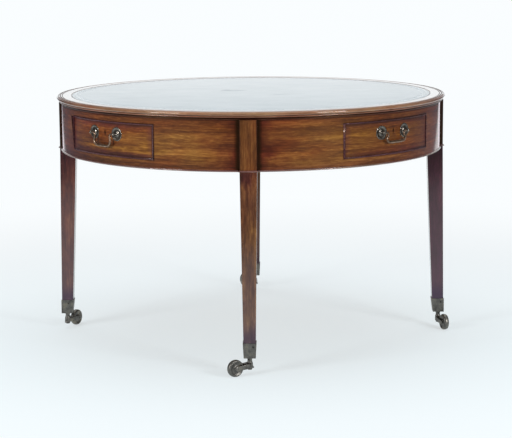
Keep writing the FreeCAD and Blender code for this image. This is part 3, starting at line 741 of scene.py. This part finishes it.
def shade_eased(mesh):
    """Flat faces shade flat, faces on the frieze's curve as one curve, and eased edges blend them."""
    eased_weight = 0.01
    corners = [vertex.co for vertex in mesh.vertices]
    eased = mesh.attributes["eased"].data
    sums = [Vector() for corner in corners]
    own_normals = []
    for face in mesh.polygons:
        own = [face.normal.copy()] * len(face.vertices)
        around = [corners[index] for index in face.vertices]
        if is_round(face, around):
            sign = math.copysign(1, outward(face))
            own = [Vector((point.x, point.y, 0)).normalized() * sign for point in around]
            own_normals.append(own)
        else:
            own_normals.append(None if eased[face.index].value else own)
        weight = face.area * (eased_weight if eased[face.index].value else 1.0)
        for index, normal in zip(face.vertices, own):
            sums[index] += normal * weight
    normals = []
    for face, own in zip(mesh.polygons, own_normals):
        normals += own or [sums[index].normalized() for index in face.vertices]
    mesh.normals_split_custom_set(normals)


def add_object(name, data):
    """A new object in the scene."""
    made = bpy.data.objects.new(name, data)
    bpy.context.scene.collection.objects.link(made)
    return made


def finish_piece(name, bm, material, body, nodes, sharp=50.0):
    """A mesh becomes a piece of the table that rides on a body and stands for CAD nodes."""
    mesh = bpy.data.meshes.new(name)
    bm.to_mesh(mesh)
    bm.free()
    mesh.shade_smooth()
    if "eased" in mesh.attributes:
        shade_eased(mesh)
    else:
        mesh.set_sharp_from_angle(angle=math.radians(sharp))
    mesh.materials.append(material)
    piece = add_object(name, mesh)
    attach(piece, body)
    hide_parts(*nodes)


def place_piece(name, bm, place, material, body, node, sharp=50.0):
    """Turn a mesh right side out, move it to its place and finish it."""
    bmesh.ops.recalc_face_normals(bm, faces=bm.faces)
    bm.transform(place)
    finish_piece(name, bm, material, body, [node], sharp)


def dressed(
    name, node, material, body, slot, edge=0.0, segments=2, rule=ring_grain, rule_of=None, board=None,
):
    """A piece with a CAD node's own shape, with eased edges and grain."""
    bm = bmesh.new()
    bm.from_mesh(frame["nodes"][node].data)
    bmesh.ops.remove_doubles(bm, verts=bm.verts, dist=same_point)
    bmesh.ops.dissolve_limit(bm, angle_limit=same_plane_angle, verts=bm.verts, edges=bm.edges)
    eased = bm.faces.layers.int.new("eased")
    if edge:
        paired = [e for e in bm.edges if len(e.link_faces) == 2]
        sharp = [e for e in paired if e.calc_face_angle(0.0) > least_edge_angle]
        made = bmesh.ops.bevel(
            bm, geom=sharp, offset=edge, segments=segments, profile=0.5, affect="EDGES", clamp_overlap=True,
        )
        for face in made["faces"]:
            face[eased] = 1
    bm.normal_update()
    write_grain(bm, rule, rule_of, board)
    finish_piece(name, bm, material, body, [node])


def skin(bm, rings):
    """Faces between rings of as many corners."""
    for low, high in zip(rings, rings[1:]):
        for step in range(len(low)):
            after = (step + 1) % len(low)
            bm.faces.new((low[step], low[after], high[after], high[step]))


def loft(bm, outlines):
    """Skin a row of outlines with as many points, and close its ends."""
    rings = [[bm.verts.new(point) for point in outline] for outline in outlines]
    skin(bm, rings)
    bm.faces.new(rings[0][::-1])
    bm.faces.new(rings[-1])


def lathe(bm, profile, place, steps=small_steps, closed=False):
    """Turn a profile of (radius, height) about the Z axis, then put it in its place."""
    rings = []
    for radius, height in profile:
        if radius == 0.0:
            rings.append([bm.verts.new(place @ Vector((0, 0, height)))])
            continue
        ring = []
        for step in range(steps):
            angle = math.tau * step / steps
            point = Vector((radius * math.cos(angle), radius * math.sin(angle), height))
            ring.append(bm.verts.new(place @ point))
        rings.append(ring)
    if closed:
        rings.append(rings[0])
    for low, high in zip(rings, rings[1:]):
        if len(low) == len(high):
            skin(bm, [low, high])
            continue
        for step in range(steps):
            after = (step + 1) % steps
            if len(low) == 1:
                bm.faces.new((low[0], high[after], high[step]))
            else:
                bm.faces.new((low[step], low[after], high[0]))


def arc(cx, cz, radius, start, end, steps):
    """Profile points along an arc, with its angles in degrees."""
    made = []
    for step in range(steps + 1):
        angle = math.radians(start + (end - start) * step / steps)
        made.append((cx + radius * math.cos(angle), cz + radius * math.sin(angle)))
    return made


# The top

def build_leather():
    """The leather lining, with three blind tooled lines inside its rim."""
    radius = radii("leather_inset")[1]
    low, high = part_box("leather_inset")
    top = high.z
    groove = 0.0003
    half_line = 0.0009
    profile = [(0.0, top), (radius * 0.5, top), (radius - 0.030, top)]
    for line in (0.026, 0.021, 0.0075):
        middle = radius - line
        profile += [(middle - half_line, top), (middle, top - groove), (middle + half_line, top)]
    profile += [(radius - 0.0012, top), (radius - 0.0003, top - 0.0003), (radius, top - 0.0008)]
    profile.append((radius, low.z))
    bm = bmesh.new()
    lathe(bm, profile[::-1], centred, full_steps)
    write_grain(bm, ring_grain)
    finish_piece("leather_lining", bm, LEATHER, "table", ["leather_inset"], 60.0)


def build_crossbanding():
    """Cross-grained veneer round the leather."""
    inner, outer = radii("top_crossbanding")
    low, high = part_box("top_crossbanding")
    ease = 0.0006
    profile = [(outer, low.z), (outer, high.z), (inner + ease, high.z), (inner, high.z - ease)]
    profile.append((inner, low.z))
    bm = bmesh.new()
    lathe(bm, profile, centred, full_steps, True)
    write_grain(bm, cross_grain)
    finish_piece("crossbanding", bm, BANDING_WOOD, "table", ["top_crossbanding"], 35.0)


def build_edge_moulding():
    """The nosing, with two flat reeds on its top and two round ones under it."""
    inner, outer = radii("top_edge_moulding")
    low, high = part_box("top_edge_moulding")
    nose = 0.0052
    reed = 0.0025
    crown = 0.0007
    groove = 0.0012
    lip = 0.0010
    profile = [(inner, low.z), (inner, high.z - groove)]
    for start, width in ((0.0011, 0.0053), (0.0082, 0.0032)):
        for share in (0.0, 0.1, 0.3, 0.5, 0.7, 0.9, 1.0):
            profile.append((inner + start + width * share, high.z - crown * (2 * share - 1) ** 4))
        profile.append((inner + start + width + 0.0009, high.z - groove))
    profile += arc(outer - nose, high.z - 0.0004 - nose, nose, 96, -52, 15)
    for out, down in ((0.0066, 0.0131), (0.0126, 0.0190)):
        profile.append((outer - out + lip, high.z - down + reed + 0.0003))
        profile += arc(outer - out, high.z - down, reed, 80, -80, 9)
        profile.append((outer - out - lip, high.z - down - reed - 0.0002))
    profile.append((outer - 0.0136, low.z))
    bm = bmesh.new()
    lathe(bm, profile, centred, full_steps, True)
    bmesh.ops.recalc_face_normals(bm, faces=bm.faces)
    write_grain(bm, ring_grain)
    finish_piece("edge_moulding", bm, EDGE_WOOD, "table", ["top_edge_moulding"], 32.0)


# The frieze, the legs and the drawers

def build_table_wood():
    """Frieze, legs, cross frame and carriage, in the shapes of their CAD nodes."""
    for node in ("frieze_top_rails", "frieze_bottom_rails", "frieze_panels"):
        dressed(node + "_veneered", node, FRIEZE_WOOD, "table", "mahogany", board=VENEER)
    dressed("frieze_bead_run", "frieze_bead", BEAD_WOOD, "table", "mahogany_edge", worn_edge, 3)
    for leg, degrees in LEGS.items():
        rule = board_grain(2, degrees)
        dressed("leg_solid_" + leg, "leg_" + leg, STILE_WOOD, "table", "mahogany_leg", worn_edge, 3, rule)
    for node in ("cross_rails", "drawer_runners", "drawer_kickers", "drawer_stops"):
        rule_of = longest_grain(0.0 if node == "cross_rails" else 45.0)
        dressed(node + "_planed", node, OAK, "table", "oak", soft_edge, 1, rule_of=rule_of)
    dressed("glue_blocks_rubbed", "glue_blocks", PINE, "table", "pine", soft_edge, 1, rule_of=rule_of)
    dressed("top_core_board", "top_core", PINE, "table", "pine", rule=board_grain(0, 0.0))


def build_drawer(name, degrees):
    """One drawer: front, cockbead, box and lock."""
    body = "drawer_" + name

    def part(piece, node, *looks, **more):
        dressed(piece + name, node + name, *looks, **more)

    part("drawer_front_veneered_", "drawer_front_", DRAWER_WOOD, body, "mahogany", board=VENEER)
    part("cockbead_round_", "drawer_cockbead_", COCKBEAD_WOOD, body, "mahogany_edge", 0.001, 3)
    part("drawer_box_planed_", "drawer_box_", OAK, body, "oak", fine_edge, 1, rule_of=longest_grain(degrees))
    part("lock_case_", "drawer_lock_", LOCK_BRASS, body, "lock_brass", fine_edge, 1)
    part("lock_tongue_", "lock_bolt_", LOCK_BRASS, "bolt_" + name, "lock_brass", 0.0006)


def outward_frame(degrees, origin):
    """A frame at origin whose Z points outward along a direction in plan and X points up."""
    out = turn(degrees) @ Vector((1, 0, 0))
    up = Vector((0, 0, 1))
    matrix = Matrix((up, out.cross(up), out)).transposed().to_4x4()
    matrix.translation = origin
    return matrix


def build_mounts(name, degrees):
    """The dished roses and the ball-headed posts."""
    node = "handle_mounts_" + name
    low, high = local_box(node, degrees)
    rim = (high.z - low.z) / 2
    pivot = turn(-degrees) @ Vector(joints["bail_hinge_" + name]["pos_m"])
    face = radii("frieze_top_rails")[1]
    bm = bmesh.new()
    for side in (-1, 1):
        lean = math.asin(half_post_spacing / face) * side
        start = Vector((face * math.cos(lean), face * math.sin(lean), (low.z + high.z) / 2))
        place = outward_frame(degrees + math.degrees(lean), turn(degrees) @ start)
        rose = [
            (0.0, 0.0), (rim - 0.0004, 0.0), (rim, 0.0005), (rim, 0.0011), (rim - 0.0006, 0.0018),
            (rim - 0.0018, 0.0020), (rim - 0.0032, 0.0018), (rim - 0.0052, 0.0009), (rim * 0.52, 0.0007),
            (rim * 0.42, 0.0012), (rim * 0.36, 0.0026), (rim * 0.30, 0.0031), (0.0045, 0.0033), (0.0, 0.0033),
        ]
        lathe(bm, rose, place)
        middle = pivot.x / math.cos(lean) - face
        post = [(0.0, 0.0), (0.0048, 0.0), (0.0048, 0.0036), (0.0036, 0.0048)]
        post += [(0.0032, middle - 0.006), (0.0040, middle - 0.0052)]
        post += arc(0.0, middle, ball_radius, -45, 75, 8)
        post.append((0.0, middle + ball_radius))
        lathe(bm, post, place, stem_steps)
    place_piece("roses_and_posts_" + name, bm, centred, ROSE_BRASS, "drawer_" + name, node)


def smooth_path(route, steps):
    """Points of a Catmull-Rom curve through a route."""
    padded = [route[0] * 2 - route[1]] + route + [route[-1] * 2 - route[-2]]
    made = []
    for a, b, c, d in zip(padded, padded[1:], padded[2:], padded[3:]):
        for step in range(steps):
            t = step / steps
            curve = 2 * b + (c - a) * t + (2 * a - 5 * b + 4 * c - d) * t * t
            made.append(0.5 * (curve + (3 * b - a - 3 * c + d) * t ** 3))
    return made + [route[-1]]


def tube(bm, path, thickness):
    """A round rod along a path, as thick at each point as the rule says."""
    outlines = []
    side = Vector((1, 0, 0))
    last = len(path) - 1
    for index, here in enumerate(path):
        along = (path[min(index + 1, last)] - path[max(index - 1, 0)]).normalized()
        up = along.cross(side).normalized()
        radius = thickness(index / last)
        outline = []
        for step in range(rod_steps):
            angle = math.tau * step / rod_steps
            outline.append(here + (side * math.cos(angle) + up * math.sin(angle)) * radius)
        outlines.append(outline)
    loft(bm, outlines)


def build_bail(name, degrees):
    """The swan-neck bail, thickest at its middle."""
    node = "bail_" + name
    low, high = local_box(node, degrees)
    pivot = turn(-degrees) @ Vector(joints["bail_hinge_" + name]["pos_m"])
    bar_z = low.z + rod_radius
    bow_height = 0.022
    neck_length = 0.010
    spread = max(abs(p.y) for p in local_points(node, degrees) if p.z < bar_z + bow_height) - rod_radius
    neck = high.y - neck_length
    route = [
        (high.y - 0.004, pivot.z),
        (neck - 0.001, pivot.z + 0.0002),
        (neck - 0.0065, pivot.z - 0.0035),
        (neck - 0.0062, pivot.z - 0.0105),
        (spread - 0.0002, (pivot.z + bar_z) / 2 - 0.002),
        (spread - 0.0012, bar_z + 0.0085),
        (spread - 0.0085, bar_z + 0.0016),
        (spread * 0.45, bar_z),
    ]
    right = [Vector((pivot.x, y, z)) for y, z in route]
    whole = right + [Vector((pivot.x, 0.0, bar_z))] + [Vector((p.x, -p.y, p.z)) for p in reversed(right)]

    def thickness(share):
        middle = 1 - abs(2 * share - 1)
        return 0.0025 + 0.0015 * min(1.0, middle * 1.4) ** 1.5

    bm = bmesh.new()
    tube(bm, smooth_path(whole, 5), thickness)
    place_piece("bail_cast_" + name, bm, turn(degrees), BAIL_BRASS, "handle_" + name, node, 60.0)


# The castors

def build_cups():
    """The square cups, their screws and the spindles."""
    dressed("castor_cups_cast", "castor_cups", CASTOR_BRASS, "table", "brass", soft_edge)
    dressed("cup_screw_heads", "castor_cup_screws", SCREW_BRASS, "table", "brass", fine_edge)
    dressed("spindle_pins", "castor_spindles", IRON, "table", "steel", 0.0005)


def castor_frame(name):
    """A castor's place, with its swivel axis on Z and its wheel along X, and its trail, axle and top."""
    swivel = Vector(joints["castor_swivel_" + name]["pos_m"])
    wheel = Vector(joints["wheel_spin_" + name]["pos_m"])
    away = Vector((wheel.x - swivel.x, wheel.y - swivel.y, 0))
    matrix = Matrix.Rotation(math.atan2(away.y, away.x), 4, "Z")
    matrix.translation = Vector((swivel.x, swivel.y, 0))
    return matrix, away.length, wheel.z, swivel.z


def rounded_section(width, height, corner, steps=4):
    """A rounded rectangle about the origin, as (y, z) points."""
    made = []
    for sy, sz, start in ((1, 1, 0), (-1, 1, 90), (-1, -1, 180), (1, -1, 270)):
        made += arc(sy * (width / 2 - corner), sz * (height / 2 - corner), corner, start, start + 90, steps)
    return made


def build_horn(name, place, trail, radius, top_z):
    """The cast horn: a turned stem, a lofted arm and two cheeks beside the wheel."""
    seam = 0.0006
    stem = [
        (0.0, 0.0185), (0.0078, 0.0185), (0.0088, 0.0205), (0.0092, 0.027), (0.0086, 0.0345),
        (0.0072, 0.0385), (0.0066, 0.0425), (0.0072, 0.0462), (0.0080, 0.0485),
        (0.0080, top_z - seam), (0.0, top_z - seam),
    ]
    # Stations along X: place, height, width and depth of the section, with a cheek's width as a share
    arm = (
        (-0.0120, 0.0200, 0.0075, 0.0036),
        (-0.0095, 0.0212, 0.0100, 0.0060),
        (-0.0050, 0.0240, 0.0150, 0.0112),
        (0.0000, 0.0268, 0.0185, 0.0168),
        (0.0060, 0.0276, 0.0215, 0.0176),
        (0.0120, 0.0273, 0.0240, 0.0166),
        (0.0175, 0.0268, 0.0250, 0.0156),
        (0.0215, 0.0265, 0.0250, 0.0150),
    )
    cheek_shares = (
        (0.0150, 0.0268, 1.0, 0.0150),
        (0.0215, 0.0264, 1.0, 0.0142),
        (0.0300, 0.0259, 0.9, 0.0138),
        (0.0390, 0.0254, 0.85, 0.0126),
        (0.0440, 0.0251, 0.9, 0.0130),
        (0.0475, 0.0250, 1.0, 0.0140),
        (0.0510, 0.0250, 1.0, 0.0142),
        (0.0545, 0.0250, 0.95, 0.0115),
        (0.0570, 0.0250, 0.8, 0.0066),
        (0.0578, 0.0250, 0.6, 0.0030),
    )
    bm = bmesh.new()
    lathe(bm, stem, centred, stem_steps)
    outlines = []
    for x, z, width, height in arm:
        outline = rounded_section(width, height, min(width, height) * 0.28)
        outlines.append([Vector((x, y, z + dz)) for y, dz in outline])
    loft(bm, outlines)
    for side in (-1, 1):
        middle = side * (half_wheel + wheel_play + cheek / 2)
        outlines = []
        for x, z, share, height in cheek_shares:
            outline = rounded_section(cheek * share, height, cheek * share * 0.42)
            along = x * trail / drawn_trail
            up = z * radius / drawn_radius
            outlines.append([Vector((along, middle + y, up + dz)) for y, dz in outline])
        loft(bm, outlines)
    node = "castor_horn_" + name
    place_piece("castor_fork_" + name, bm, place, CASTOR_BRASS, "castor_" + name, node)


def both_sides(half):
    """A profile with its like on the other side of height zero."""
    return half + [(radius, -height) for radius, height in reversed(half)]


def build_castor(name):
    """The horn, the axle and the dished wheel."""
    place, trail, radius, top_z = castor_frame(name)
    build_horn(name, place, trail, radius, top_z)
    lying = Matrix.Translation(Vector((trail, 0, radius))) @ Matrix.Rotation(math.radians(-90), 4, "X")
    reach = half_wheel + wheel_play + cheek + pin_proud
    pin = both_sides([(0.0, -reach), (0.0018, -reach), (0.0028, -reach + 0.0006), (0.003, -reach + 0.0014)])
    bm = bmesh.new()
    lathe(bm, pin, lying, pin_steps)
    place_piece("castor_pin_" + name, bm, place, IRON, "castor_" + name, "castor_axle_" + name)

    # How far the face of the wheel lies behind its widest, from the bore to the tread
    face = (
        (0.00305, 0.0006), (0.0058, 0.0003), (0.0066, 0.0009), (0.0078, 0.0022), (0.0120, 0.0024),
        (0.0165, 0.0019), (0.0188, 0.0006), (0.0196, 0.0002), (0.0212, 0.0001), (0.0228, 0.0008),
        (0.0240, 0.0022), (0.0247, 0.0042),
    )
    tread = (radius, 0.0016)
    wheel = both_sides([(out, half_wheel - depth) for out, depth in face] + [tread])
    bm = bmesh.new()
    lathe(bm, wheel, lying, wheel_steps, True)
    node = "castor_wheel_" + name
    place_piece("castor_roller_" + name, bm, place, CASTOR_BRASS, "wheel_" + name, node)


# The studio

def build_floor():
    """A wide floor of the studio's paper."""
    bm = bmesh.new()
    bmesh.ops.create_circle(bm, cap_ends=True, segments=96, radius=40.0)
    mesh = bpy.data.meshes.new("studio_floor")
    bm.to_mesh(mesh)
    bm.free()
    mesh.materials.append(paper_floor())
    floor = add_object("studio_floor", mesh)


def lamp(name, place, wide, high, power, target=(0.0, 0.0, 0.45), colour=(1.0, 1.0, 1.0)):
    """A rectangular studio lamp that looks at a target."""
    data = bpy.data.lights.new(name, "AREA")
    data.shape = "RECTANGLE"
    data.size = wide
    data.size_y = high
    data.energy = power
    data.color = colour
    made = add_object(name, data)
    made.location = place
    made.rotation_mode = "QUATERNION"
    made.rotation_quaternion = (Vector(target) - Vector(place)).to_track_quat("-Z", "Y")


def build_air():
    """The room: white to the camera, soft to matt surfaces, and dark to gloss but for paper and ceiling."""
    graph = Graph(bpy.data.worlds.new("studio_air"), "Background")
    rays = graph.add("LightPath").outputs
    look = graph.axes(graph.add("TexCoord").outputs["Generated"])
    flat = graph.add("CombineXYZ", None, {"X": look["X"], "Y": look["Y"]}).outputs[0]
    ahead = graph.axes(graph.vector("NORMALIZE", flat)["Vector"])["Y"]
    paper = graph.level(ahead, 0.88, 0.965, 0.10, 1.0)
    ceiling = graph.level(look["Z"], 0.6, 0.85, 0.0, 0.5)
    fill = graph.blend(rays["Is Glossy Ray"], 0.3, graph.largest(paper, ceiling))
    seen = graph.largest(rays["Is Camera Ray"], rays["Is Transmission Ray"])
    graph.set(graph.shader, {"Color": (0.96, 0.985, 1.0, 1.0), "Strength": graph.blend(seen, fill, 1.0)})
    bpy.context.scene.world = graph.owner


def build_camera():
    """The camera at the photograph's place and angle."""
    data = bpy.data.cameras.new("photo_camera")
    data.sensor_width = 36.0
    data.lens = focal_pixels * data.sensor_width / photo_width
    data.clip_end = 200.0
    camera = add_object("photo_camera", data)
    yaw = camera_yaw - camera_turn
    level = math.cos(camera_pitch)
    ahead = Vector((math.sin(yaw) * level, math.cos(yaw) * level, -math.sin(camera_pitch)))
    right = Vector((math.cos(yaw), -math.sin(yaw), 0))
    up = right.cross(ahead)
    turned_right = math.cos(camera_roll) * right + math.sin(camera_roll) * up
    turned_up = math.cos(camera_roll) * up - math.sin(camera_roll) * right
    matrix = Matrix((turned_right, turned_up, -ahead)).transposed().to_4x4()
    matrix.translation = Vector((
        camera_distance * math.sin(camera_turn),
        -camera_distance * math.cos(camera_turn),
        camera_height,
    ))
    camera.matrix_world = matrix
    bpy.context.scene.camera = camera
    bpy.context.scene.view_settings.view_transform = "Standard"


build_floor()
lamp("key_left", (-3.75, -3.3, 1.95), 1.7, 0.7, 132.0)
lamp("key_right", (3.6, -3.5, 1.95), 1.5, 0.7, 128.0)
lamp("overhead", (0.0, 0.4, 3.6), 3.6, 3.6, 64.0, (0.0, 0.0, 0.0), (0.92, 0.98, 1.0))
build_air()
build_camera()
build_leather()
build_crossbanding()
build_edge_moulding()
build_table_wood()
for drawer, angle in DRAWERS.items():
    build_drawer(drawer, angle)
    build_mounts(drawer, angle)
    build_bail(drawer, angle)
build_cups()
for castor in LEGS:
    build_castor(castor)
